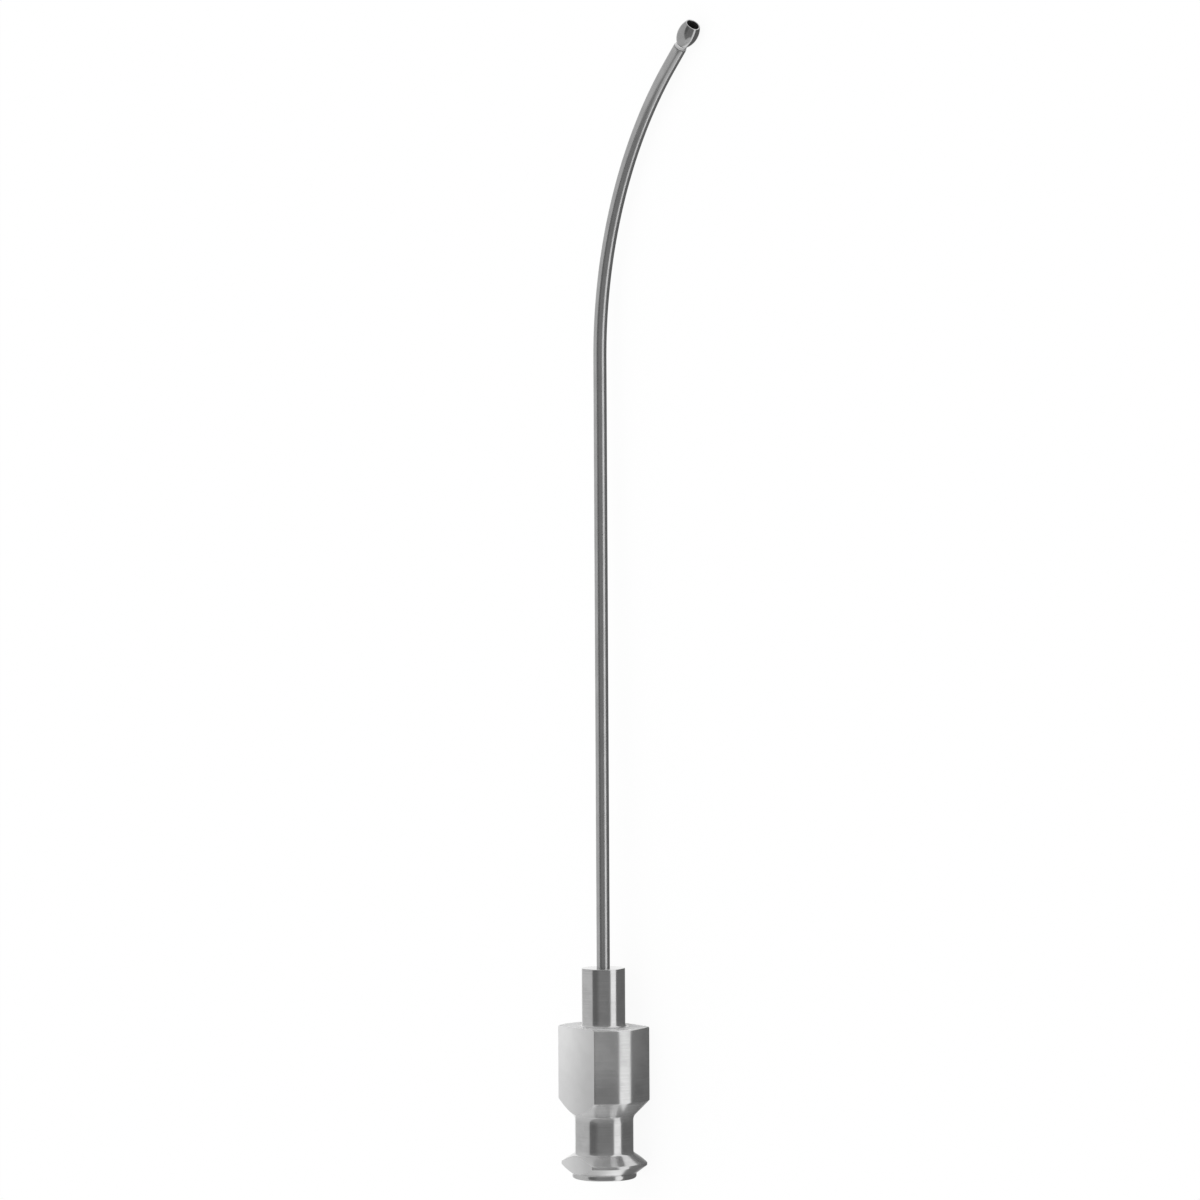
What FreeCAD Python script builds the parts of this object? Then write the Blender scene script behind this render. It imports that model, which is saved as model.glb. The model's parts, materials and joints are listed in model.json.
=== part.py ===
import FreeCAD, Part
import math
import os

# A suction needle in three pieces: a turned hub with a tapered lock socket, a long thin tube brazed into it,
# and a small open olive brazed into the tube's bent end.
#
# The needle is drawn upright first, with the mouth of the socket at height 0, the tube going up and its bend
# leaning to +X. The two flats of the hub face -Y and +Y. It is then laid down as it rests on a table, on the
# front edge of one flat and the olive, with the tube along +Y. Sizes are in millimetres, angles in degrees.

# Hub, outside, from the mouth of the socket up
rim_d = 5.84
rim_len = 0.45
lug_span = 7.83
lug_lower_cone_len = 0.75
lug_land_len = 0.25
lug_upper_cone_len = 0.85
neck_d = 5.3
neck_len = 3.25
body_d = 8.44
body_len = 6.6
shoulder_angle = 45.0
collar_d = 3.94
collar_len = 5.25
across_flats = 6.0

# Hub, small roundings and broken edges of the turned profile
rim_round = 0.2
neck_root_round = 0.25
shoulder_round = 0.8
body_edge = 0.15
collar_root_round = 0.22
collar_edge = 0.08

# Lock socket
socket_mouth_d = 4.28
socket_taper = 0.06
socket_depth = 9.0
socket_chamfer = 0.15
drill_point_angle = 118.0

# Tube
tube_d = 1.2
tube_bore_d = 0.9
tube_seat_depth = 7.0
straight_len = 55.1
bend_radius = 33.3
bend_angle = 49.2

# Olive
olive_d = 1.83
olive_curve_r = 2.25
olive_front_len = 1.02
olive_mouth_d = 1.1
olive_mouth_depth = 1.2
olive_mouth_cone_len = 0.35
olive_bore_d = 0.6
olive_rim_round = 0.05
olive_neck_d = 1.08
olive_neck_len = 0.4
spigot_len = 1.6
spigot_to_bend = 0.6

# Brazed joints
braze_gap = 0.01

# Heights of the hub's steps above the mouth of the socket
lug_low_z = rim_len + lug_lower_cone_len
lug_high_z = lug_low_z + lug_land_len
neck_z = lug_high_z + lug_upper_cone_len
shoulder_z = neck_z + neck_len
shoulder_rise = (body_d - neck_d) / 2 / math.tan(math.radians(shoulder_angle))
body_z = shoulder_z + shoulder_rise
body_top_z = body_z + body_len
collar_top_z = body_top_z + collar_len
tube_foot_z = collar_top_z - tube_seat_depth
bend_z = collar_top_z + straight_len
tube_end_len = spigot_len + spigot_to_bend

# Places on the olive, along its own axis from the end of the tube
olive_crest_drop = (olive_d - olive_neck_d) / 2
olive_crest_z = olive_neck_len + math.sqrt(olive_curve_r ** 2 - (olive_curve_r - olive_crest_drop) ** 2)
olive_front_z = olive_crest_z + olive_front_len

up = FreeCAD.Vector(0, 0, 1)
bend_centre = FreeCAD.Vector(bend_radius, 0, bend_z)
bend_axis = FreeCAD.Vector(0, 1, 0)


def at(radius, height):
    """Point of a turned profile."""
    return FreeCAD.Vector(radius, 0, height)


def corner_arc(before, corner, after, rounding):
    """Start, middle and end of the arc that rounds one corner of a profile."""
    towards_before = (before - corner).normalize()
    towards_after = (after - corner).normalize()
    half_opening = towards_before.getAngle(towards_after) / 2
    reach = rounding / math.tan(half_opening)
    bisector = (towards_before + towards_after).normalize()
    middle_reach = rounding / math.sin(half_opening) - rounding
    start = corner + towards_before * reach
    middle = corner + bisector * middle_reach
    end = corner + towards_after * reach
    return start, middle, end


def turned(corners):
    """Solid of revolution of a profile.

    Each corner is its radius, its height and its rounding. The profile closes from the last corner
    to the first, and these two stay sharp.
    """
    points = [at(radius, height) for radius, height, rounding in corners]
    edges = []
    last = points[0]
    for index in range(1, len(corners) - 1):
        rounding = corners[index][2]
        if rounding == 0:
            edges.append(Part.LineSegment(last, points[index]).toShape())
            last = points[index]
            continue
        start, middle, end = corner_arc(points[index - 1], points[index], points[index + 1], rounding)
        edges.append(Part.LineSegment(last, start).toShape())
        edges.append(Part.Arc(start, middle, end).toShape())
        last = end
    edges.append(Part.LineSegment(last, points[-1]).toShape())
    edges.append(Part.LineSegment(points[-1], points[0]).toShape())
    face = Part.Face(Part.Wire(edges))
    return face.revolve(FreeCAD.Vector(0, 0, 0), up, 360)


def hub_blank():
    """Turned outside of the hub, still solid and round."""
    return turned([
        (0, 0, 0),
        (rim_d / 2, 0, rim_round),
        (rim_d / 2, rim_len, 0),
        (lug_span / 2, lug_low_z, 0),
        (lug_span / 2, lug_high_z, 0),
        (neck_d / 2, neck_z, neck_root_round),
        (neck_d / 2, shoulder_z, shoulder_round),
        (body_d / 2, body_z, 0),
        (body_d / 2, body_top_z - body_edge, 0),
        (body_d / 2 - body_edge, body_top_z, 0),
        (collar_d / 2, body_top_z, collar_root_round),
        (collar_d / 2, collar_top_z - collar_edge, 0),
        (collar_d / 2 - collar_edge, collar_top_z, 0),
        (0, collar_top_z, 0),
    ])


def lock_socket():
    """Tapered socket with its mouth chamfer, and the point that the drill leaves at its end."""
    mouth_r = socket_mouth_d / 2
    end_r = mouth_r - socket_taper * socket_depth / 2
    passage_r = tube_bore_d / 2
    point_len = (end_r - passage_r) / math.tan(math.radians(drill_point_angle / 2))
    chamfer_r = mouth_r - socket_taper * socket_chamfer / 2
    return turned([
        (0, 0, 0),
        (mouth_r + socket_chamfer, 0, 0),
        (chamfer_r, socket_chamfer, 0),
        (end_r, socket_depth, 0),
        (passage_r, socket_depth + point_len, 0),
        (passage_r, tube_foot_z, 0),
        (0, tube_foot_z, 0),
    ])


def tube_seat():
    """Blind seat in the collar, in which the tube's foot stands."""
    return Part.makeCylinder(tube_d / 2 + braze_gap, tube_seat_depth, at(0, tube_foot_z), up)


def flat_cuts():
    """What the cutter takes off both sides: it makes the body's flats and leaves two lock lugs."""
    width = max(body_d, lug_span)
    depth = (width - across_flats) / 2
    front = Part.makeBox(width, depth, body_top_z, FreeCAD.Vector(-width / 2, across_flats / 2, 0))
    back = front.mirror(FreeCAD.Vector(0, 0, 0), bend_axis)
    return front.fuse(back)


def hub():
    """Hub with its lock socket, tube seat, flats and lugs."""
    return hub_blank().cut(lock_socket()).cut(tube_seat()).cut(flat_cuts())


def past_bend(shape):
    """Swing what is drawn above the start of the bend round to the bend's end."""
    return shape.rotated(bend_centre, bend_axis, bend_angle)


def centre_line():
    """Middle of the tube: straight from its seat, one arc towards +X, and a short straight end."""
    foot = at(0, tube_foot_z)
    bend_start = at(0, bend_z)
    bend_middle = bend_centre + FreeCAD.Rotation(bend_axis, bend_angle / 2).multVec(bend_start - bend_centre)
    bend_end = past_bend(Part.Vertex(bend_start)).Point
    tip = past_bend(Part.Vertex(at(0, bend_z + tube_end_len))).Point
    straight = Part.LineSegment(foot, bend_start).toShape()
    bend = Part.Arc(bend_start, bend_middle, bend_end).toShape()
    end = Part.LineSegment(bend_end, tip).toShape()
    return Part.Wire([straight, bend, end])


def rod(radius):
    """Round solid along the tube's centre line."""
    section = Part.Wire(Part.makeCircle(radius, at(0, tube_foot_z), up))
    return centre_line().makePipeShell([section], True, False)


def needle_tube():
    """Thin tube, bent near its end."""
    return rod(tube_d / 2).cut(rod(tube_bore_d / 2))


def olive_outside():
    """Barrel-shaped olive with its neck and spigot, still solid, on the straight axis at height 0."""
    front_r = olive_d / 2 - olive_curve_r + math.sqrt(olive_curve_r ** 2 - olive_front_len ** 2)
    spigot_r = tube_bore_d / 2 - braze_gap
    back = at(olive_neck_d / 2, olive_neck_len)
    crest = at(olive_d / 2, olive_crest_z)
    front = at(front_r, olive_front_z)
    corners = [
        front,
        at(0, olive_front_z),
        at(0, -spigot_len),
        at(spigot_r, -spigot_len),
        at(spigot_r, 0),
        at(olive_neck_d / 2, 0),
        back,
    ]
    edges = [Part.LineSegment(a, b).toShape() for a, b in zip(corners, corners[1:])]
    barrel = Part.Arc(back, crest, front).toShape()
    face = Part.Face(Part.Wire(edges + [barrel]))
    return face.revolve(at(0, 0), up, 360)


def olive_opening():
    """Wide mouth of the olive, its cone, and the narrow way back through the spigot."""
    mouth_floor_z = olive_front_z - olive_mouth_depth
    cone_end_z = mouth_floor_z - olive_mouth_cone_len
    return turned([
        (0, -spigot_len, 0),
        (olive_bore_d / 2, -spigot_len, 0),
        (olive_bore_d / 2, cone_end_z, 0),
        (olive_mouth_d / 2, mouth_floor_z, 0),
        (olive_mouth_d / 2, olive_front_z, 0),
        (0, olive_front_z, 0),
    ])


def olive_tip():
    """Olive with its opening and rounded rim, moved to the end of the tube."""
    olive = olive_outside().cut(olive_opening())
    rim = [edge for edge in olive.Edges if edge.BoundBox.ZMin > olive_front_z - 1e-4]
    olive = olive.makeFillet(olive_rim_round, rim)
    return past_bend(olive.translated(at(0, bend_z + tube_end_len)))


def rest_tilt():
    """How far the tip dips, so that the front edge of the lower flat and the olive both touch the table."""
    flat_r = across_flats / 2
    crest = past_bend(Part.Vertex(at(0, bend_z + tube_end_len + olive_crest_z)))
    span = crest.Z - body_top_z
    return math.degrees(math.atan(flat_r / span) - math.asin(olive_d / 2 / math.hypot(span, flat_r)))


def laid_down(pieces):
    """The pieces lying on a flat and the olive, with the middle of their box above the origin."""
    whole = Part.makeCompound(list(pieces.values()))
    whole.rotate(FreeCAD.Vector(0, 0, 0), FreeCAD.Vector(1, 0, 0), -90 - rest_tilt())
    box = whole.optimalBoundingBox(False)
    whole.translate(FreeCAD.Vector(-box.Center.x, -box.Center.y, -box.ZMin))
    return dict(zip(pieces, whole.SubShapes))


os.makedirs("parts", exist_ok=True)
upright = {
    "hub": hub(),
    "needle_tube": needle_tube(),
    "olive_tip": olive_tip(),
}
for node, shape in laid_down(upright).items():
    shape.exportStep("parts/" + node + ".step")
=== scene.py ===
"""A suction needle lying on a pale table: a turned lock hub, a thin bent tube and a small open olive."""
import json
import logging
import math
from dataclasses import dataclass
from enum import Enum
from typing import Callable, Sequence

import bmesh
import bpy
from mathutils import Matrix, Vector


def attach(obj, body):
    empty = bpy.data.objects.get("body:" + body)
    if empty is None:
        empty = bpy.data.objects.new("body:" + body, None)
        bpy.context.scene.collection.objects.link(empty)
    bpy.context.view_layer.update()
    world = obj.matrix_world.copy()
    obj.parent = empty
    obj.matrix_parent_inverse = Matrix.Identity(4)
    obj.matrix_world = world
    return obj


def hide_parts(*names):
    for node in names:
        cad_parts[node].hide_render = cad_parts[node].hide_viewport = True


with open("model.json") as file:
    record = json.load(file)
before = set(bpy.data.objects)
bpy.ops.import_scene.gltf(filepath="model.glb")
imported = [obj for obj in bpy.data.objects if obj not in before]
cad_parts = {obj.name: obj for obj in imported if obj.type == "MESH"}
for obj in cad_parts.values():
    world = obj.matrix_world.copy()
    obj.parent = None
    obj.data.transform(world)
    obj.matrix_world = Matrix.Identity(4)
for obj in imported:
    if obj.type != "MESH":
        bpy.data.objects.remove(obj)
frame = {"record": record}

log = logging.getLogger("needle")
MM = 0.001
TURNED_PLACE = "turned_place"
MERGE_DISTANCE = 0.002 * MM
NOISE_LOW, NOISE_HIGH = 0.3, 0.7

Operand = bpy.types.NodeSocket | float


class Slot(Enum):
    """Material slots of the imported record."""

    HUB = "hub_steel"
    TUBE = "tube_steel"
    TIP = "tip_steel"


@dataclass(frozen=True)
class NeedleFrame:
    """The needle's own frame: origin in the socket's mouth, z towards the tip, x to the side of the bend."""

    matrix: Matrix

    @classmethod
    def from_record(cls, record: dict) -> "NeedleFrame":
        """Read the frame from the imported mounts.

        Args:
            record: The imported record, with its mounts.

        Returns:
            The needle's frame in the row frame, in metres.
        """
        mounts = {mount["name"]: mount for mount in record["mounts"]}
        z_axis = -Vector(mounts["lock_socket"]["axis"]).normalized()
        y_axis = -Vector(mounts["grip_flat"]["axis"]).normalized()
        x_axis = y_axis.cross(z_axis)
        turn = Matrix((x_axis, y_axis, z_axis)).transposed()
        return cls(Matrix.Translation(mounts["lock_socket"]["pos_m"]) @ turn.to_4x4())


@dataclass(frozen=True)
class Corner:
    """Corner of a turned profile: its radius, its height, and how much it is rounded."""

    radius: float
    height: float
    rounding: float = 0.0


@dataclass(frozen=True)
class Profile:
    """Closed outline that is turned round the needle's axis."""

    corners: tuple[Corner, ...]
    step: float
    arc_steps: int = 6
    long_step: float = 0.6 * MM
    long_slope: float = 0.05

    def _rounded(self, index: int) -> list[Vector]:
        """Sample one corner of the outline.

        Args:
            index: Which corner.

        Returns:
            Its point, or the points along its arc where it is rounded.
        """
        here = self.corners[index]
        before, after = self.corners[index - 1], self.corners[(index + 1) % len(self.corners)]
        point = Vector((here.radius, here.height))
        if here.rounding == 0:
            return [point]
        to_before = (Vector((before.radius, before.height)) - point).normalized()
        to_after = (Vector((after.radius, after.height)) - point).normalized()
        half_opening = to_before.angle(to_after) / 2
        centre = point + (to_before + to_after).normalized() * (here.rounding / math.sin(half_opening))
        reach = here.rounding / math.tan(half_opening)
        start = point + to_before * reach - centre
        end = point + to_after * reach - centre
        turn = start.angle_signed(end)
        angles = [-turn * step / self.arc_steps for step in range(self.arc_steps + 1)]
        return [centre + Matrix.Rotation(angle, 2) @ start for angle in angles]

    def points(self) -> list[Vector]:
        """Outline sampled for turning.

        Returns:
            Points (radius, height) round the closed outline, no further apart than the step, or than the
            long step where it runs nearly along the axis.
        """
        coarse = [point for index in range(len(self.corners)) for point in self._rounded(index)]
        fine: list[Vector] = []
        for here, there in zip(coarse, coarse[1:] + coarse[:1]):
            run = there - here
            step = self.long_step if abs(run.x) < self.long_slope * abs(run.y) else self.step
            parts = max(1, math.ceil(run.length / step))
            fine.extend(here.lerp(there, part / parts) for part in range(parts))
        return fine


def soft_least(first: float, second: float, blend: float) -> float:
    """The smaller of two values, with a rounded change from one to the other.

    Args:
        first: One value.
        second: The other value.
        blend: How far apart the values may be for the rounding to act.

    Returns:
        The rounded smaller value.
    """
    closeness = max(0.0, blend - abs(first - second)) / blend
    return min(first, second) - closeness * closeness * blend / 4


def turned_mesh(name: str, outline: Sequence[Vector], segments: int,
                limit: Callable[[float, float], float]) -> bpy.types.Mesh:
    """Turn a closed outline into a mesh.

    Args:
        name: Name of the mesh.
        outline: Points (radius, height) of the closed outline.
        segments: How many steps there are round the axis.
        limit: Gives the radius that is left at a radius and an angle, for what is milled off.

    Returns:
        A closed mesh in the needle's frame, with smooth faces that point outwards. Its attribute TURNED_PLACE
        keeps each point's place, for materials that follow the surface round a bend.
    """
    form = bmesh.new()
    rings = []
    angles = [2 * math.pi * segment / segments for segment in range(segments)]
    for radius, height in outline:
        radii = [limit(radius, angle) for angle in angles]
        rings.append([form.verts.new((left * math.cos(angle), left * math.sin(angle), height))
                      for left, angle in zip(radii, angles)])
    for low, high in zip(rings, rings[1:] + rings[:1]):
        for here in range(segments):
            there = (here + 1) % segments
            form.faces.new((low[here], low[there], high[there], high[here])).smooth = True
    bmesh.ops.remove_doubles(form, verts=form.verts, dist=MERGE_DISTANCE)
    bmesh.ops.dissolve_degenerate(form, edges=form.edges, dist=MERGE_DISTANCE)
    mesh = bpy.data.meshes.new(name)
    form.to_mesh(mesh)
    form.free()
    place = mesh.attributes.new(TURNED_PLACE, "FLOAT_VECTOR", "POINT")
    for vert, value in zip(mesh.vertices, place.data):
        value.vector = vert.co
    return mesh


def add_piece(name: str, mesh: bpy.types.Mesh, node: str) -> bpy.types.Object:
    """Put a finished mesh in the scene as one piece of the needle.

    Args:
        name: Name of the piece.
        mesh: Its mesh, in the row frame.
        node: The solid that it stands for.

    Returns:
        The piece's object, at the origin.
    """
    piece = bpy.data.objects.new(name, mesh)
    bpy.context.scene.collection.objects.link(piece)
    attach(piece, "root")
    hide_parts(node)
    log.info("%s: %d faces for %s", name, len(mesh.polygons), node)
    return piece


class NodeSheet:
    """Small helper that adds and joins nodes in one tree."""

    def __init__(self, tree: bpy.types.NodeTree) -> None:
        """Keep the tree that the nodes go into."""
        self.tree = tree

    def node(self, kind: str, **settings: object) -> bpy.types.Node:
        """Add a node.

        Args:
            kind: Type of the node.
            **settings: The node's own settings.

        Returns:
            The new node.
        """
        made = self.tree.nodes.new(kind)
        for key, value in settings.items():
            setattr(made, key, value)
        return made

    def join(self, out: bpy.types.NodeSocket, into: bpy.types.NodeSocket) -> None:
        """Join two sockets."""
        self.tree.links.new(out, into)

    def feed(self, value: Operand, into: bpy.types.NodeSocket) -> None:
        """Give a socket its value.

        Args:
            value: A socket to join, or a plain number to set.
            into: The socket that gets it.
        """
        if isinstance(value, bpy.types.NodeSocket):
            self.join(value, into)
        else:
            into.default_value = value

    def math(self, operation: str, first: Operand, second: Operand = 0.0,
             third: Operand = 0.0) -> bpy.types.NodeSocket:
        """Add one step of arithmetic.

        Args:
            operation: Name of the operation.
            first: First operand.
            second: Second operand, if the operation has one.
            third: Third operand, if the operation has one.

        Returns:
            The result.
        """
        step = self.node("ShaderNodeMath", operation=operation)
        for operand, socket in zip((first, second, third), step.inputs):
            self.feed(operand, socket)
        return step.outputs[0]

    def split(self, vector: bpy.types.NodeSocket) -> tuple[bpy.types.NodeSocket, ...]:
        """Take a vector apart.

        Args:
            vector: The vector.

        Returns:
            Its three parts.
        """
        parts = self.node("ShaderNodeSeparateXYZ")
        self.join(vector, parts.inputs[0])
        return tuple(parts.outputs)

    def mix(self, share: Operand, first: Operand, second: Operand) -> bpy.types.NodeSocket:
        """Mix two numbers.

        Args:
            share: How much of the second goes in, from 0 to 1.
            first: The first number.
            second: The second number.

        Returns:
            The mixed number.
        """
        step = self.node("ShaderNodeMix", data_type="FLOAT")
        sockets = (step.inputs[0], step.inputs[2], step.inputs[3])
        for operand, socket in zip((share, first, second), sockets):
            self.feed(operand, socket)
        return step.outputs[0]

    def ramp(self, value: Operand, low: Operand, high: Operand, low_out: Operand,
             high_out: Operand) -> bpy.types.NodeSocket:
        """Map one range of numbers smoothly to another.

        Args:
            value: The number to map.
            low: Start of its range.
            high: End of its range.
            low_out: Result at the start and before it.
            high_out: Result at the end and past it.

        Returns:
            The mapped number.
        """
        step = self.node("ShaderNodeMapRange", interpolation_type="SMOOTHSTEP")
        for operand, socket in zip((value, low, high, low_out, high_out), step.inputs):
            self.feed(operand, socket)
        return step.outputs[0]


@dataclass(frozen=True)
class Grain:
    """Lengths of the fine lines of worked steel: along its radius, round its axis and along its axis."""

    across: float
    around: float
    along: float


@dataclass(frozen=True)
class MilledFlats:
    """Satin finish of the two flats that a cutter leaves on a turned piece.

    The distance is from the axis to a flat. The flats carry painted shade: fully bright at the top, darker
    towards the foot and to one side.
    """

    distance: float
    shade: float = 0.95
    # painted shade of the flats: share of shade left at the far side and at the foot
    painted_shade_side: float = 0.68
    painted_shade_foot: float = 0.86
    foot: float = 7.0 * MM
    top: float = 13.7 * MM
    roughness: float = 0.5
    metallic: float = 0.45
    edge: float = 0.03 * MM
    edge_end: float = 0.01 * MM
    patch_size: float = 1.1 * MM
    patch_detail: float = 4.0
    patch_shade: float = 0.96
    pit_size: float = 0.08 * MM
    pit_detail: float = 2.0


@dataclass(frozen=True)
class Zone:
    """Part of a turned surface, between two radii and two heights, that has a finish of its own."""

    radii: tuple[float, float]
    heights: tuple[float, float]
    shade: float
    roughness: float
    metallic: float = 1.0
    edge: float = 0.02 * MM


@dataclass(frozen=True)
class Steel:
    """Bright neutral steel, with the fine lines and handling marks that its making left.

    The haze lists heights along the needle, each with the share of light that the dulled polish scatters there.
    """

    name: str
    grain: Grain
    shade: float = 0.72
    roughness: float = 0.16
    rough_change: float = 2.0
    line_tone: float = 0.06
    line_bump: float = 0.10
    line_detail: float = 3.0
    bump_depth: float = 0.004 * MM
    patch_size: float = 1.4 * MM
    patch_tone: float = 0.05
    patch_detail: float = 3.0
    haze: tuple[tuple[float, float], ...] = ()
    flats: MilledFlats | None = None
    zones: tuple[Zone, ...] = ()

    def build(self) -> bpy.types.Material:
        """Make the material.

        Returns:
            The finished material, which reads the piece's own TURNED_PLACE attribute.
        """
        material = bpy.data.materials.new(self.name)
        material.use_nodes = True
        sheet = NodeSheet(material.node_tree)
        shader = material.node_tree.nodes["Principled BSDF"]
        place = sheet.node("ShaderNodeAttribute", attribute_name=TURNED_PLACE).outputs["Vector"]
        height = self._lines(sheet, place)
        change = self._change(sheet, place, height)
        shade = sheet.math("MULTIPLY", sheet.math("ADD", change, 1.0), self.shade)
        smoothness = sheet.math("SUBTRACT", 1.0, sheet.math("MULTIPLY", change, self.rough_change))
        rough = sheet.math("MULTIPLY", smoothness, self.roughness)
        metallic: Operand = 1.0
        if self.haze:
            metallic = sheet.math("SUBTRACT", 1.0, self._haze(sheet, place))
        for zone in self.zones:
            inside = self._zone_mask(sheet, place, zone)
            shade = sheet.mix(inside, shade, zone.shade)
            rough = sheet.mix(inside, rough, zone.roughness)
            metallic = sheet.mix(inside, metallic, zone.metallic)
        if self.flats:
            on_flat = self._flat_mask(sheet, place)
            pits = self._noise(sheet, place, self.flats.pit_size, self.flats.pit_detail)
            shade = sheet.mix(on_flat, shade, self._satin(sheet, place))
            rough = sheet.mix(on_flat, rough, self.flats.roughness)
            height = sheet.mix(on_flat, height, pits)
            metallic = sheet.mix(on_flat, metallic, self.flats.metallic)
        colour = sheet.node("ShaderNodeCombineColor")
        for socket in colour.inputs[:3]:
            sheet.join(shade, socket)
        bump = sheet.node("ShaderNodeBump")
        bump.inputs["Strength"].default_value = self.line_bump
        bump.inputs["Distance"].default_value = self.bump_depth
        sheet.join(height, bump.inputs["Height"])
        sheet.join(colour.outputs[0], shader.inputs["Base Color"])
        sheet.join(rough, shader.inputs["Roughness"])
        sheet.feed(metallic, shader.inputs["Metallic"])
        sheet.join(bump.outputs[0], shader.inputs["Normal"])
        return material

    def _change(self, sheet: NodeSheet, place: bpy.types.NodeSocket,
                lines: bpy.types.NodeSocket) -> bpy.types.NodeSocket:
        """Vary the surface a little.

        Args:
            sheet: The material's nodes.
            place: Place on the turned piece.
            lines: Noise along the grain.

        Returns:
            How much lighter or darker the fine lines and the handling marks make the steel.
        """
        patches = self._noise(sheet, place, self.patch_size, self.patch_detail)
        light_line = sheet.ramp(lines, NOISE_LOW, NOISE_HIGH, -self.line_tone, self.line_tone)
        light_patch = sheet.ramp(patches, NOISE_LOW, NOISE_HIGH, -self.patch_tone, self.patch_tone)
        return sheet.math("ADD", light_line, light_patch)

    def _radius(self, sheet: NodeSheet, place: bpy.types.NodeSocket) -> bpy.types.NodeSocket:
        """Distance from the needle's axis."""
        x, y, _ = sheet.split(place)
        return sheet.math("SQRT", sheet.math("MULTIPLY_ADD", x, x, sheet.math("MULTIPLY", y, y)))

    def _haze(self, sheet: NodeSheet, place: bpy.types.NodeSocket) -> bpy.types.NodeSocket:
        """Dull the polish in places along the needle.

        Args:
            sheet: The material's nodes.
            place: Place on the turned piece.

        Returns:
            Share of light that the surface scatters.
        """
        curve = sheet.node("ShaderNodeFloatCurve")
        length = self.haze[-1][0]
        points = curve.mapping.curves[0].points
        points[0].location = (0.0, self.haze[0][1])
        points[1].location = (1.0, self.haze[-1][1])
        for height, amount in self.haze[1:-1]:
            points.new(height / length, amount)
        for point in points:
            point.handle_type = "VECTOR"
        curve.mapping.update()
        sheet.feed(sheet.math("DIVIDE", sheet.split(place)[2], length), curve.inputs["Value"])
        return curve.outputs[0]

    def _satin(self, sheet: NodeSheet, place: bpy.types.NodeSocket) -> bpy.types.NodeSocket:
        """Make the flats cloudy, with painted shade to one side and towards the shoulder.

        Args:
            sheet: The material's nodes.
            place: Place on the turned piece.

        Returns:
            Shade of the flats.
        """
        across, _, along = sheet.split(place)
        noise = self._noise(sheet, place, self.flats.patch_size, self.flats.patch_detail)
        clouds = sheet.ramp(noise, NOISE_LOW, NOISE_HIGH, self.flats.patch_shade, 1.0)
        half = self.flats.distance
        # painted shade: the flats darken to one side and towards the foot
        painted_side_shade = sheet.ramp(across, -half, half, 1.0, self.flats.painted_shade_side)
        painted_foot_shade = sheet.ramp(along, self.flats.foot, self.flats.top, self.flats.painted_shade_foot, 1.0)
        return sheet.math("MULTIPLY", sheet.math("MULTIPLY", clouds, self.flats.shade),
                          sheet.math("MULTIPLY", painted_side_shade, painted_foot_shade))

    def _lines(self, sheet: NodeSheet, place: bpy.types.NodeSocket) -> bpy.types.NodeSocket:
        """Draw noise out along the grain.

        Args:
            sheet: The material's nodes.
            place: Place on the turned piece.

        Returns:
            Noise in fine lines, round the axis or along it.
        """
        x, y, z = sheet.split(place)
        radius = self._radius(sheet, place)
        arc = sheet.math("MULTIPLY", sheet.math("ARCTAN2", y, x), radius)
        at = sheet.node("ShaderNodeCombineXYZ")
        lengths = (self.grain.across, self.grain.around, self.grain.along)
        for value, length, socket in zip((radius, arc, z), lengths, at.inputs):
            sheet.feed(sheet.math("DIVIDE", value, length), socket)
        return self._noise(sheet, at.outputs[0], 1.0, self.line_detail)

    def _noise(self, sheet: NodeSheet, place: bpy.types.NodeSocket, size: float,
               detail: float) -> bpy.types.NodeSocket:
        """Add plain noise.

        Args:
            sheet: The material's nodes.
            place: Where it is read.
            size: Size of its features.
            detail: How many finer layers it has.

        Returns:
            The noise, round about 0.5.
        """
        noise = sheet.node("ShaderNodeTexNoise")
        noise.inputs["Scale"].default_value = 1.0 / size
        noise.inputs["Detail"].default_value = detail
        sheet.join(place, noise.inputs["Vector"])
        return noise.outputs[0]

    def _zone_mask(self, sheet: NodeSheet, place: bpy.types.NodeSocket, zone: Zone) -> bpy.types.NodeSocket:
        """Find a zone.

        Args:
            sheet: The material's nodes.
            place: Place on the turned piece.
            zone: The zone.

        Returns:
            1 in the zone and 0 elsewhere.
        """
        mask: Operand = 1.0
        measured = (self._radius(sheet, place), sheet.split(place)[2])
        for value, (low, high) in zip(measured, (zone.radii, zone.heights)):
            above = sheet.ramp(value, low - zone.edge, low, 0.0, 1.0)
            below = sheet.ramp(value, high, high + zone.edge, 1.0, 0.0)
            mask = sheet.math("MULTIPLY", mask, sheet.math("MULTIPLY", above, below))
        return mask

    def _flat_mask(self, sheet: NodeSheet, place: bpy.types.NodeSocket) -> bpy.types.NodeSocket:
        """Find the two flats.

        Args:
            sheet: The material's nodes.
            place: Place on the turned piece.

        Returns:
            1 on the flats and 0 elsewhere.
        """
        away = sheet.math("ABSOLUTE", sheet.split(place)[1])
        start, end = self.flats.distance - self.flats.edge, self.flats.distance - self.flats.edge_end
        return sheet.ramp(away, start, end, 0.0, 1.0)


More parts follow.
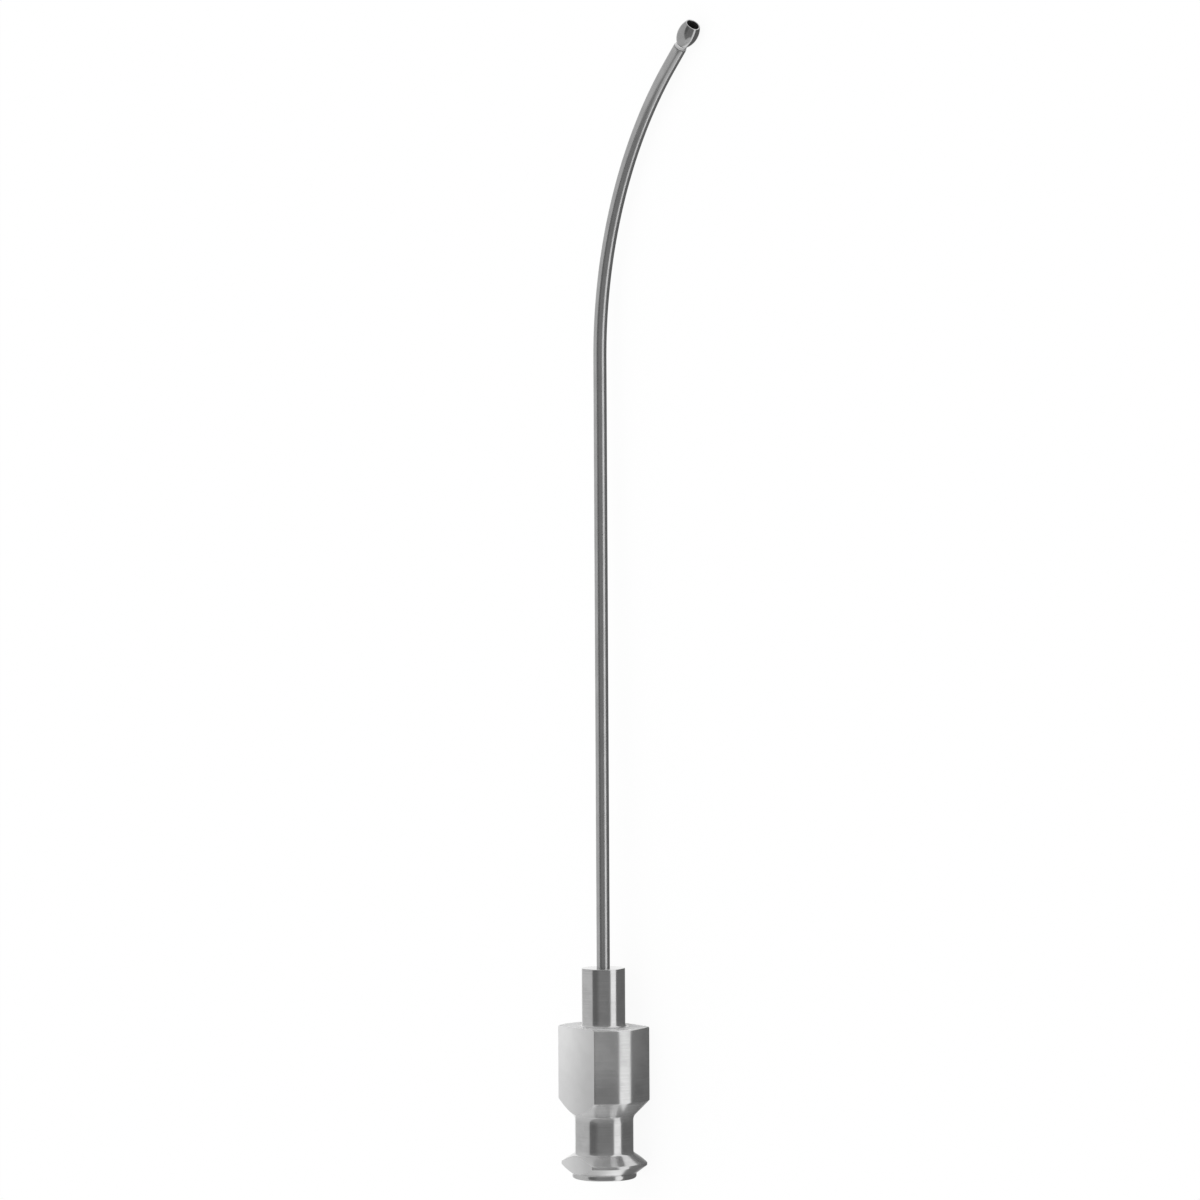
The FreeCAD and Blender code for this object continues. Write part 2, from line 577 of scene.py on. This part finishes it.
@dataclass(frozen=True)
class Hub:
    """The turned and milled hub."""

    rim_d: float = 5.84 * MM
    rim_len: float = 0.45 * MM
    lug_span: float = 7.83 * MM
    lug_lower_cone_len: float = 0.75 * MM
    lug_land_len: float = 0.25 * MM
    lug_upper_cone_len: float = 0.85 * MM
    neck_d: float = 5.3 * MM
    neck_len: float = 3.25 * MM
    body_d: float = 8.44 * MM
    body_len: float = 6.6 * MM
    collar_d: float = 3.94 * MM
    collar_len: float = 5.25 * MM
    across_flats: float = 6.0 * MM
    flat_edge: float = 0.07 * MM
    rim_round: float = 0.22 * MM
    rim_root_round: float = 0.1 * MM
    lug_round: float = 0.07 * MM
    neck_root_round: float = 0.25 * MM
    shoulder_round: float = 0.8 * MM
    body_foot_round: float = 0.15 * MM
    body_top_round: float = 0.16 * MM
    collar_root_round: float = 0.22 * MM
    collar_edge_round: float = 0.08 * MM
    socket_mouth_d: float = 4.28 * MM
    socket_taper: float = 0.06
    socket_depth: float = 9.0 * MM
    socket_chamfer: float = 0.15 * MM
    socket_round: float = 0.05 * MM
    chamfer_round: float = 0.04 * MM
    drill_half_angle: float = math.radians(59.0)
    passage_d: float = 0.9 * MM
    seat_d: float = 1.22 * MM
    seat_depth: float = 7.0 * MM
    seat_round: float = 0.03 * MM
    ring_inset: float = 0.2 * MM
    ring_slack: float = 0.01 * MM
    segments: int = 400
    step: float = 0.12 * MM
    haze: tuple[tuple[float, float], ...] = (
        (0.0 * MM, 0.0), (0.5 * MM, 0.02), (1.1 * MM, 0.08), (1.5 * MM, 0.3), (2.1 * MM, 0.3),
        (2.6 * MM, 0.02), (5.0 * MM, 0.0), (5.5 * MM, 0.2), (6.2 * MM, 0.4), (6.9 * MM, 0.4),
        (7.2 * MM, 0.02), (8.2 * MM, 0.02), (10.5 * MM, 0.18), (13.5 * MM, 0.2), (13.75 * MM, 0.3),
        (14.0 * MM, 0.05), (14.3 * MM, 0.0), (20.0 * MM, 0.0),
    )

    @property
    def lug_low(self) -> float:
        """Height at which the lugs reach their full span."""
        return self.rim_len + self.lug_lower_cone_len

    @property
    def neck_foot(self) -> float:
        """Height of the neck's lower end."""
        return self.lug_low + self.lug_land_len + self.lug_upper_cone_len

    @property
    def body_top(self) -> float:
        """Height of the grip body's front end."""
        shoulder_len = (self.body_d - self.neck_d) / 2
        return self.neck_foot + self.neck_len + shoulder_len + self.body_len

    @property
    def collar_top(self) -> float:
        """Height of the collar's front end."""
        return self.body_top + self.collar_len

    def _outside(self) -> list[Corner]:
        """Draw the outside.

        Returns:
            Its corners, from the mouth to the collar.
        """
        return [
            Corner(self.rim_d / 2, 0.0, self.rim_round),
            Corner(self.rim_d / 2, self.rim_len, self.rim_root_round),
            Corner(self.lug_span / 2, self.lug_low, self.lug_round),
            Corner(self.lug_span / 2, self.lug_low + self.lug_land_len, self.lug_round),
            Corner(self.neck_d / 2, self.neck_foot, self.neck_root_round),
            Corner(self.neck_d / 2, self.neck_foot + self.neck_len, self.shoulder_round),
            Corner(self.body_d / 2, self.body_top - self.body_len, self.body_foot_round),
            Corner(self.body_d / 2, self.body_top, self.body_top_round),
            Corner(self.collar_d / 2, self.body_top, self.collar_root_round),
            Corner(self.collar_d / 2, self.collar_top, self.collar_edge_round),
        ]

    def _inside(self) -> list[Corner]:
        """Draw the tube's seat, the passage and the tapered socket.

        Returns:
            Their corners, from the collar to the mouth.
        """
        mouth_r = self.socket_mouth_d / 2
        end_r = mouth_r - self.socket_taper * self.socket_depth / 2
        point_len = (end_r - self.passage_d / 2) / math.tan(self.drill_half_angle)
        seat_floor = self.collar_top - self.seat_depth
        chamfer_r = mouth_r - self.socket_taper * self.socket_chamfer / 2
        return [
            Corner(self.seat_d / 2, self.collar_top, self.seat_round),
            Corner(self.seat_d / 2, seat_floor),
            Corner(self.passage_d / 2, seat_floor),
            Corner(self.passage_d / 2, self.socket_depth + point_len),
            Corner(end_r, self.socket_depth, self.socket_round),
            Corner(chamfer_r, self.socket_chamfer, self.socket_round),
            Corner(mouth_r + self.socket_chamfer, 0.0, self.chamfer_round),
        ]

    def _zones(self) -> tuple[Zone, ...]:
        """List what has a finish of its own.

        Returns:
            The ring round the collar's foot, painted pale and matt as a highlight, and the reamed inside.
        """
        ring_radii = (self.collar_d / 2 + self.ring_inset, self.body_d / 2 - self.ring_inset)
        ring_heights = (self.body_top - self.ring_slack, self.body_top + self.ring_slack)
        socket_radii = (0.0, self.socket_mouth_d / 2 + self.socket_chamfer)
        return (
            # painted highlight: the ring at the collar's foot is painted pale and matt
            Zone(ring_radii, ring_heights, shade=1.0, roughness=0.5, metallic=0.2),
            Zone(socket_radii, (0.0, self.body_top), shade=0.55, roughness=0.3),
        )

    def _milled(self, radius: float, angle: float) -> float:
        """Mill the two flats.

        Args:
            radius: Radius of the turned piece.
            angle: Angle round the axis.

        Returns:
            Radius that is left.
        """
        across = abs(math.sin(angle))
        if across * radius < self.across_flats / 2 - 2 * self.flat_edge:
            return radius
        return soft_least(radius, self.across_flats / 2 / across, self.flat_edge)

    def mesh(self) -> bpy.types.Mesh:
        """Turn and mill the hub, in the needle's frame."""
        profile = Profile(tuple(self._outside() + self._inside()), self.step)
        return turned_mesh("hub_body", profile.points(), self.segments, self._milled)

    def finish(self) -> bpy.types.Material:
        """Turned steel, dulled in places, with a painted highlight on the ring at the collar's foot, and two
        satin flats with painted shade.
        """
        grain = Grain(across=0.03 * MM, around=4.0 * MM, along=0.03 * MM)
        return Steel("turned_hub_steel", grain, haze=self.haze, flats=MilledFlats(self.across_flats / 2),
                     zones=self._zones()).build()

    def build(self, needle: NeedleFrame) -> bpy.types.Object:
        """Make and dress the hub.

        Args:
            needle: The needle's frame.

        Returns:
            The finished piece.
        """
        mesh = self.mesh()
        mesh.transform(needle.matrix)
        mesh.materials.append(self.finish())
        return add_piece("hub_body", mesh, "hub")


@dataclass(frozen=True)
class Bend:
    """Where and how far the tube bends, along its straight length."""

    start: float = 74.07 * MM
    radius: float = 33.3 * MM
    angle: float = math.radians(49.2)
    end_len: float = 2.2 * MM

    @property
    def straight_length(self) -> float:
        """Length of the tube's middle line up to its end, from the socket's mouth."""
        return self.start + self.radius * self.angle + self.end_len

    def tree(self) -> bpy.types.NodeTree:
        """Geometry nodes that bend a straight tube round the former.

        Returns:
            A tree with the bend's start, radius and angle and the finish as named inputs.
        """
        tree = bpy.data.node_groups.new("bend_round_former", "GeometryNodeTree")
        face = tree.interface
        face.new_socket("Geometry", in_out="INPUT", socket_type="NodeSocketGeometry")
        for label in ("Bend start", "Bend radius", "Bend angle"):
            face.new_socket(label, in_out="INPUT", socket_type="NodeSocketFloat")
        face.new_socket("Finish", in_out="INPUT", socket_type="NodeSocketMaterial")
        face.new_socket("Geometry", in_out="OUTPUT", socket_type="NodeSocketGeometry")
        sheet = NodeSheet(tree)
        given = sheet.node("NodeGroupInput")
        result = sheet.node("NodeGroupOutput")
        start, radius, angle = given.outputs[1:4]
        side, back, along = sheet.split(sheet.node("GeometryNodeInputPosition").outputs[0])
        past = sheet.math("SUBTRACT", along, start)
        turned = sheet.math("MAXIMUM", sheet.math("DIVIDE", past, radius), 0.0)
        turned = sheet.math("MINIMUM", turned, angle)
        sine, cosine = sheet.math("SINE", turned), sheet.math("COSINE", turned)
        straight = sheet.math("MINIMUM", along, start)
        bend_len = sheet.math("MULTIPLY", radius, angle)
        beyond = sheet.math("MAXIMUM", sheet.math("SUBTRACT", past, bend_len), 0.0)
        from_centre = sheet.math("SUBTRACT", radius, side)
        reach = sheet.math("SUBTRACT", radius, sheet.math("MULTIPLY", from_centre, cosine))
        new_side = sheet.math("MULTIPLY_ADD", beyond, sine, reach)
        rise = sheet.math("MULTIPLY_ADD", from_centre, sine, straight)
        new_along = sheet.math("MULTIPLY_ADD", beyond, cosine, rise)
        place = sheet.node("ShaderNodeCombineXYZ")
        for value, socket in zip((new_side, back, new_along), place.inputs):
            sheet.join(value, socket)
        move = sheet.node("GeometryNodeSetPosition")
        sheet.join(given.outputs[0], move.inputs["Geometry"])
        sheet.join(place.outputs[0], move.inputs["Position"])
        real = sheet.node("GeometryNodeRealizeInstances")
        sheet.join(move.outputs[0], real.inputs[0])
        paint = sheet.node("GeometryNodeSetMaterial")
        sheet.join(real.outputs[0], paint.inputs["Geometry"])
        sheet.join(given.outputs["Finish"], paint.inputs["Material"])
        sheet.join(paint.outputs[0], result.inputs[0])
        return tree

    def bent(self, mesh: bpy.types.Mesh, finish: bpy.types.Material) -> bpy.types.Mesh:
        """Bend a straight turned mesh.

        Args:
            mesh: The mesh, straight along the needle's axis.
            finish: The material that its faces get.

        Returns:
            A new plain mesh, bent.
        """
        straight = bpy.data.objects.new(mesh.name + "_straight", mesh)
        bpy.context.scene.collection.objects.link(straight)
        modifier = straight.modifiers.new("bend", "NODES")
        modifier.node_group = self.tree()
        values = {
            "Bend start": self.start,
            "Bend radius": self.radius,
            "Bend angle": self.angle,
            "Finish": finish,
        }
        for socket in modifier.node_group.interface.items_tree:
            if socket.in_out == "INPUT" and socket.name in values:
                modifier[socket.identifier] = values[socket.name]
        graph = bpy.context.evaluated_depsgraph_get()
        made = bpy.data.meshes.new_from_object(straight.evaluated_get(graph), depsgraph=graph)
        bpy.data.objects.remove(straight)
        made.name = mesh.name
        return made


@dataclass(frozen=True)
class Tube:
    """The thin drawn tube."""

    bend: Bend
    foot: float = 11.97 * MM
    outer_d: float = 1.2 * MM
    bore_d: float = 0.9 * MM
    end_round: float = 0.02 * MM
    segments: int = 64
    step: float = 0.3 * MM

    def mesh(self) -> bpy.types.Mesh:
        """Draw the tube, straight.

        Returns:
            Its mesh in the needle's frame.
        """
        top = self.bend.straight_length
        corners = (
            Corner(self.outer_d / 2, self.foot),
            Corner(self.outer_d / 2, top, self.end_round),
            Corner(self.bore_d / 2, top),
            Corner(self.bore_d / 2, self.foot),
        )
        outline = Profile(corners, self.step).points()
        return turned_mesh("tube", outline, self.segments, lambda radius, angle: radius)

    def finish(self) -> bpy.types.Material:
        """Drawn steel, with its grain along the tube."""
        grain = Grain(across=0.03 * MM, around=0.03 * MM, along=6.0 * MM)
        return Steel("drawn_tube_steel", grain, shade=0.62, roughness=0.24, line_bump=0.05).build()

    def build(self, needle: NeedleFrame) -> bpy.types.Object:
        """Make, bend and dress the tube.

        Args:
            needle: The needle's frame.

        Returns:
            The finished piece.
        """
        mesh = self.bend.bent(self.mesh(), self.finish())
        mesh.transform(needle.matrix)
        return add_piece("tube", mesh, "needle_tube")


@dataclass(frozen=True)
class Olive:
    """The open olive on the tube's end."""

    bend: Bend
    crest_d: float = 1.83 * MM
    curve_r: float = 2.25 * MM
    front_len: float = 1.02 * MM
    mouth_d: float = 1.1 * MM
    mouth_depth: float = 1.2 * MM
    mouth_cone_len: float = 0.35 * MM
    bore_d: float = 0.6 * MM
    neck_d: float = 1.08 * MM
    neck_len: float = 0.4 * MM
    spigot_d: float = 0.88 * MM
    spigot_len: float = 1.6 * MM
    edge_round: float = 0.05 * MM
    curve_steps: int = 36
    segments: int = 192
    step: float = 0.08 * MM

    @property
    def back_len(self) -> float:
        """Length of the barrel behind its crest."""
        drop = (self.crest_d - self.neck_d) / 2
        return math.sqrt(self.curve_r ** 2 - (self.curve_r - drop) ** 2)

    @property
    def front(self) -> float:
        """Height of the rim, straight along the needle's axis."""
        return self.bend.straight_length + self.neck_len + self.back_len + self.front_len

    def _barrel(self) -> list[Corner]:
        """Draw the curved outside.

        Returns:
            Its points, from the neck to the rim.
        """
        points = []
        for step in range(self.curve_steps + 1):
            along = -self.back_len + (self.back_len + self.front_len) * step / self.curve_steps
            radius = self.crest_d / 2 - self.curve_r + math.sqrt(self.curve_r ** 2 - along ** 2)
            points.append(Corner(radius, self.front - self.front_len + along))
        last = points.pop()
        return points + [Corner(last.radius, last.height, self.edge_round)]

    def _zones(self) -> tuple[Zone, ...]:
        """List what has a finish of its own.

        Returns:
            The drilled mouth, dark with painted shade, and the neck, painted pale as a highlight.
        """
        end = self.bend.straight_length
        drilled = self.mouth_depth + self.mouth_cone_len
        return (
            # painted shade: the inside of the drilled mouth is painted dark
            Zone((0.0, self.mouth_d / 2), (self.front - drilled, self.front), shade=0.2, roughness=0.55),
            # painted highlight: the neck is painted pale and matt
            Zone((0.0, self.neck_d / 2), (end, end + self.neck_len), shade=0.8, roughness=0.45, metallic=0.4),
        )

    def mesh(self) -> bpy.types.Mesh:
        """Draw the olive, straight along the needle's axis.

        Returns:
            Its mesh in the needle's frame.
        """
        end = self.bend.straight_length
        corners = (
            Corner(self.spigot_d / 2, end - self.spigot_len),
            Corner(self.spigot_d / 2, end),
            Corner(self.neck_d / 2, end),
            *self._barrel(),
            Corner(self.mouth_d / 2, self.front, self.edge_round),
            Corner(self.mouth_d / 2, self.front - self.mouth_depth, self.edge_round),
            Corner(self.bore_d / 2, self.front - self.mouth_depth - self.mouth_cone_len),
            Corner(self.bore_d / 2, end - self.spigot_len),
        )
        outline = Profile(corners, self.step).points()
        return turned_mesh("olive", outline, self.segments, lambda radius, angle: radius)

    def finish(self) -> bpy.types.Material:
        """Polished steel, with painted shade in the mouth and a painted highlight on the neck."""
        grain = Grain(across=0.02 * MM, around=1.5 * MM, along=0.02 * MM)
        return Steel("polished_olive_steel", grain, shade=0.54, roughness=0.15, line_bump=0.04,
                     patch_size=0.6 * MM, zones=self._zones()).build()

    def build(self, needle: NeedleFrame) -> bpy.types.Object:
        """Make, bend and dress the olive.

        Args:
            needle: The needle's frame.

        Returns:
            The finished piece.
        """
        mesh = self.bend.bent(self.mesh(), self.finish())
        mesh.transform(needle.matrix)
        return add_piece("olive", mesh, "olive_tip")


@dataclass(frozen=True)
class Room:
    """How bright polished steel sees each part of the room, where 1 is white.

    A dark front wall and ceiling and a grey rear wall stand round a white table. Close to the needle the
    table carries a painted shadow of the needle, lighter behind. Both ends of the room, past the foot and the
    tip, are grey.
    Angles are heights over the level plane, and the other limits are parts of a direction of length 1.
    """

    front: float = 0.215
    ceiling: float = 0.13
    rear: float = 0.55
    table_far: float = 1.0
    painted_table_shadow: float = 0.16
    painted_table_shadow_rear: float = 0.55
    ends: float = 0.62
    ceiling_from: float = 0.78
    ceiling_full: float = 0.95
    rear_lean: float = math.radians(3.0)
    table_from: float = math.radians(-5.0)
    near_from: float = math.radians(-37.5)
    foot_near_lift: float = 0.14
    tip_from: float = 0.35
    tip_near_drop: float = 0.4
    foot_table_drop: float = 0.12
    foot_table_blend: float = 0.10
    rear_table_from: float = -0.55
    rear_table_full: float = -0.8
    ends_from: float = 0.90
    ends_full: float = 0.97
    blend: float = 0.02

    def _walls(self, sheet: NodeSheet, across: bpy.types.NodeSocket,
               up: bpy.types.NodeSocket) -> bpy.types.NodeSocket:
        """Make the walls and the ceiling.

        Args:
            sheet: The world's nodes.
            across: Part of the direction towards the front.
            up: Part of the direction upwards.

        Returns:
            Their brightness.
        """
        lean = sheet.math("MULTIPLY", up, math.sin(self.rear_lean))
        backwards = sheet.math("MULTIPLY", sheet.math("ADD", across, lean), -1.0)
        is_rear = sheet.ramp(backwards, -self.blend, self.blend, 0.0, 1.0)
        front = sheet.ramp(up, self.ceiling_from, self.ceiling_full, self.front, self.ceiling)
        return sheet.mix(is_rear, front, self.rear)

    def _table(self, sheet: NodeSheet, across: bpy.types.NodeSocket, along: bpy.types.NodeSocket,
               up: bpy.types.NodeSocket) -> bpy.types.NodeSocket:
        """Make the table, white far off and with a painted shadow of the needle close by.

        Args:
            sheet: The world's nodes.
            across: Part of the direction towards the front.
            along: Part of the direction towards the tip.
            up: Part of the direction upwards.

        Returns:
            Its brightness.
        """
        footwards = sheet.math("MINIMUM", along, 0.0)
        tipwards = sheet.math("MAXIMUM", sheet.math("SUBTRACT", along, self.tip_from), 0.0)
        height = sheet.math("MULTIPLY_ADD", footwards, self.foot_near_lift, up)
        height = sheet.math("MULTIPLY_ADD", tipwards, self.tip_near_drop, height)
        # painted shadow of the needle on the table: dark close by, lighter behind
        edge = math.sin(self.near_from)
        is_near = sheet.ramp(height, edge - self.blend, edge + self.blend, 1.0, 0.0)
        near = sheet.ramp(across, self.rear_table_full, self.rear_table_from,
                          self.painted_table_shadow_rear, self.painted_table_shadow)
        return sheet.mix(is_near, self.table_far, near)

    def tone(self, sheet: NodeSheet, direction: bpy.types.NodeSocket) -> bpy.types.NodeSocket:
        """Make the whole room.

        Args:
            sheet: The world's nodes.
            direction: Direction in which the steel looks.

        Returns:
            The room's brightness in that direction.
        """
        across, along, up = sheet.split(direction)
        footwards = sheet.math("MINIMUM", along, 0.0)
        height = sheet.math("MULTIPLY_ADD", footwards, -self.foot_table_drop, up)
        blend = sheet.math("MULTIPLY_ADD", footwards, -self.foot_table_blend, self.blend)
        edge = math.sin(self.table_from)
        below, above = sheet.math("SUBTRACT", edge, blend), sheet.math("ADD", edge, blend)
        is_table = sheet.ramp(height, below, above, 1.0, 0.0)
        walls = self._walls(sheet, across, up)
        room = sheet.mix(is_table, walls, self._table(sheet, across, along, up))
        is_end = sheet.ramp(sheet.math("ABSOLUTE", along), self.ends_from, self.ends_full, 0.0, 1.0)
        return sheet.mix(is_end, room, self.ends)


@dataclass(frozen=True)
class Studio:
    """White table and soft white light all round.

    The table returns only the floor shade of the light that falls on it, so the needle's shadow stays faint,
    and glows with the rest of its white.
    """

    room: Room = Room()
    floor_half: float = 1.5
    floor_drop: float = 0.05 * MM
    floor_shade: float = 0.08

    def _floor(self) -> None:
        """Lay the white table, which keeps the needle's shadow."""
        half = self.floor_half
        mesh = bpy.data.meshes.new("table")
        corners = [(-half, -half), (half, -half), (half, half), (-half, half)]
        mesh.from_pydata([(x, y, -self.floor_drop) for x, y in corners], [], [(0, 1, 2, 3)])
        table = bpy.data.objects.new("table", mesh)
        bpy.context.scene.collection.objects.link(table)
        material = bpy.data.materials.new("white_table")
        material.use_nodes = True
        sheet = NodeSheet(material.node_tree)
        material.node_tree.nodes.remove(material.node_tree.nodes["Principled BSDF"])
        matt = sheet.node("ShaderNodeBsdfDiffuse")
        matt.inputs["Color"].default_value = (*[self.floor_shade] * 3, 1.0)
        glow = sheet.node("ShaderNodeEmission")
        path = sheet.node("ShaderNodeLightPath")
        seen = sheet.math("MAXIMUM", path.outputs["Is Camera Ray"], path.outputs["Is Glossy Ray"])
        seen = sheet.math("MAXIMUM", seen, path.outputs["Is Transmission Ray"])
        sheet.feed(sheet.math("MULTIPLY", seen, 1.0 - self.floor_shade), glow.inputs["Strength"])
        both = sheet.node("ShaderNodeAddShader")
        sheet.join(matt.outputs[0], both.inputs[0])
        sheet.join(glow.outputs[0], both.inputs[1])
        sheet.join(both.outputs[0], material.node_tree.nodes["Material Output"].inputs["Surface"])
        mesh.materials.append(material)
        table.visible_glossy = False

    def _light(self) -> None:
        """Light the world plain white, and show polished steel the parts of the room."""
        world = bpy.data.worlds.new("studio")
        bpy.context.scene.world = world
        world.use_nodes = True
        sheet = NodeSheet(world.node_tree)
        back = world.node_tree.nodes["Background"]
        back.inputs["Color"].default_value = (1.0, 1.0, 1.0, 1.0)
        direction = sheet.node("ShaderNodeTexCoord").outputs["Generated"]
        path = sheet.node("ShaderNodeLightPath")
        tone = self.room.tone(sheet, direction)
        sheet.join(sheet.mix(path.outputs["Is Glossy Ray"], 1.0, tone), back.inputs["Strength"])

    def build(self) -> None:
        """Set the stage."""
        self._floor()
        self._light()


@dataclass(frozen=True)
class Viewpoint:
    """The photograph's camera, given in the needle's frame."""

    distance: float = 364.0 * MM
    swing: float = math.radians(57.0)
    aim_height: float = 52.26 * MM
    aim_side: float = -0.11 * MM
    roll: float = math.radians(0.32)
    pixels_per_mm: float = 11.05
    frame_pixels: int = 1200
    clip: tuple[float, float] = (0.01, 10.0)

    def build(self, needle: NeedleFrame) -> None:
        """Make the camera and set it as the scene's.

        Args:
            needle: The needle's frame.
        """
        data = bpy.data.cameras.new("camera")
        focal_pixels = self.distance / MM * self.pixels_per_mm
        data.lens = data.sensor_width * focal_pixels / self.frame_pixels
        data.clip_start, data.clip_end = self.clip
        back = Vector((math.sin(self.swing), -math.cos(self.swing), 0.0))
        right = Vector((math.cos(self.swing), math.sin(self.swing), 0.0))
        up = Vector((0.0, 0.0, 1.0))
        turn = Matrix((right, up, back)).transposed().to_4x4() @ Matrix.Rotation(-self.roll, 4, "Z")
        aim = up * self.aim_height + right * self.aim_side
        camera = bpy.data.objects.new("camera", data)
        camera.matrix_world = needle.matrix @ Matrix.Translation(aim + back * self.distance) @ turn
        bpy.context.scene.collection.objects.link(camera)
        bpy.context.scene.camera = camera


def main() -> None:
    """Build the needle and its studio."""
    logging.basicConfig(level=logging.INFO, format="%(name)s %(message)s")
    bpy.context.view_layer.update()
    needle = NeedleFrame.from_record(frame["record"])
    Viewpoint().build(needle)
    Studio().build()
    bend = Bend()
    for piece in (Hub(), Tube(bend), Olive(bend)):
        piece.build(needle)
    bpy.context.scene.view_settings.view_transform = "Standard"


if __name__ == "__main__":
    main()
